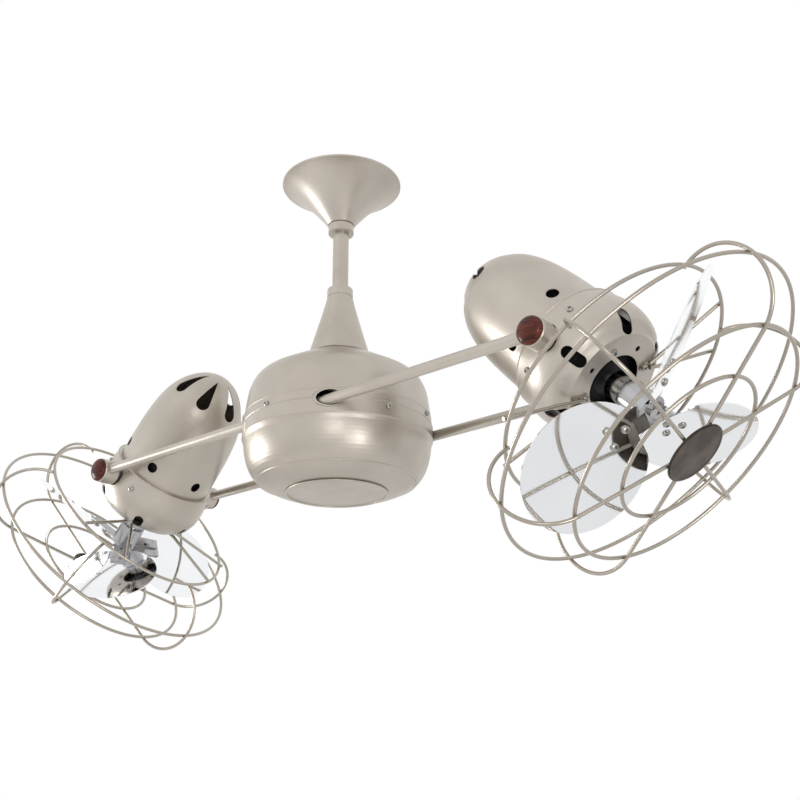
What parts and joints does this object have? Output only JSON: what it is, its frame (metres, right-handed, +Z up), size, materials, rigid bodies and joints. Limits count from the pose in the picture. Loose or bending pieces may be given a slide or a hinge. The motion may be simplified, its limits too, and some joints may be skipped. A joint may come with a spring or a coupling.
{
  "type": "twin head ceiling fan",
  "caption": "Ceiling fan on a short downrod: a slewing body carries two level arm rods with a caged, tilting fan head at each end.",
  "frame": {"origin": "centre of the hanger plate's slots, on the ceiling plane", "axes": "+Z up, the slew axis and the downrod; +X along the arm rods to the right head; +Y to the rear"},
  "size_m": [1.1402, 0.3776, 0.5725],
  "materials": {
    "nickel_shell": "warm satin nickel over spun steel",
    "nickel_bar": "satin nickel over drawn tube and turned parts",
    "guard_wire_nickel": "satin nickel on welded wire",
    "blade_chrome": "mirror chrome on pressed sheet",
    "hub_chrome": "polished chrome casting",
    "bright_screws": "bright plated screws",
    "plated_steel": "zinc plated steel",
    "slip_ring_plastic": "black moulded plastic",
    "black_rubber": "black friction washer",
    "motor_black": "black painted motor",
    "mahogany": "polished reddish mahogany",
    "pewter": "antique pewter casting"
  },
  "bodies": {
    "ceiling_mount": {"hanger_bracket": "plated_steel", "hanger_ball": "plated_steel", "ball_pin": "plated_steel", "canopy": "nickel_shell", "canopy_collar": "nickel_bar", "downrod": "nickel_bar", "rod_collar": "nickel_bar", "set_screws": "bright_screws", "cone_cover": "nickel_shell", "coupling": "plated_steel", "coupling_pin": "plated_steel", "slew_shaft": "plated_steel", "retaining_nut": "plated_steel", "slip_ring": "slip_ring_plastic"},
    "turning_body": {"upper_bearing": "plated_steel", "lower_bearing": "plated_steel", "carrier": "plated_steel", "fixing_ring": "plated_steel", "upper_housing": "nickel_shell", "lower_housing": "nickel_shell", "bottom_cap": "nickel_shell", "band_screws": "bright_screws", "grommets": "nickel_bar", "arm_rod_front": "nickel_bar", "arm_rod_rear": "nickel_bar", "pivot_cups_right": "nickel_bar", "pivot_cups_left": "nickel_bar", "wood_caps_right": "mahogany", "wood_caps_left": "mahogany"},
    "head_right": {"trunnion_frame_right": "plated_steel", "tilt_washers_right": "black_rubber", "motor_right": "motor_black", "rear_shell_right": "nickel_shell", "front_shell_right": "nickel_shell", "head_screws_right": "bright_screws", "guard_right": "guard_wire_nickel", "guard_struts_right": "guard_wire_nickel", "badge_right": "pewter"},
    "head_left": {"trunnion_frame_left": "plated_steel", "tilt_washers_left": "black_rubber", "motor_left": "motor_black", "rear_shell_left": "nickel_shell", "front_shell_left": "nickel_shell", "head_screws_left": "bright_screws", "guard_left": "guard_wire_nickel", "guard_struts_left": "guard_wire_nickel", "badge_left": "pewter"},
    "rotor_right": {"rotor_shaft_right": "plated_steel", "blade_hub_right": "hub_chrome", "blade_screws_right": "bright_screws", "blade_a_right": "blade_chrome", "blade_b_right": "blade_chrome", "blade_c_right": "blade_chrome"},
    "rotor_left": {"rotor_shaft_left": "plated_steel", "blade_hub_left": "hub_chrome", "blade_screws_left": "bright_screws", "blade_a_left": "blade_chrome", "blade_b_left": "blade_chrome", "blade_c_left": "blade_chrome"}
  },
  "joints": [
    {"name": "body_turn", "type": "hinge", "parent": "ceiling_mount", "child": "turning_body", "pos_m": [0, 0, -0.345], "axis": [0, 0, 1], "continuous": true},
    {"name": "tilt_right", "type": "hinge", "parent": "turning_body", "child": "head_right", "pos_m": [0.3524, 0, -0.345], "axis": [0, 1, 0], "range_deg": [-136.16, 43.84]},
    {"name": "tilt_left", "type": "hinge", "parent": "turning_body", "child": "head_left", "pos_m": [-0.3524, 0, -0.345], "axis": [0, -1, 0], "range_deg": [-135.28, 44.72]},
    {"name": "rotor_right", "type": "hinge", "parent": "head_right", "child": "rotor_right", "pos_m": [0.3524, 0, -0.345], "axis": [0.6926, 0, -0.7213], "continuous": true},
    {"name": "rotor_left", "type": "hinge", "parent": "head_left", "child": "rotor_left", "pos_m": [-0.3524, 0, -0.345], "axis": [-0.7036, 0, -0.7106], "continuous": true}
  ]
}
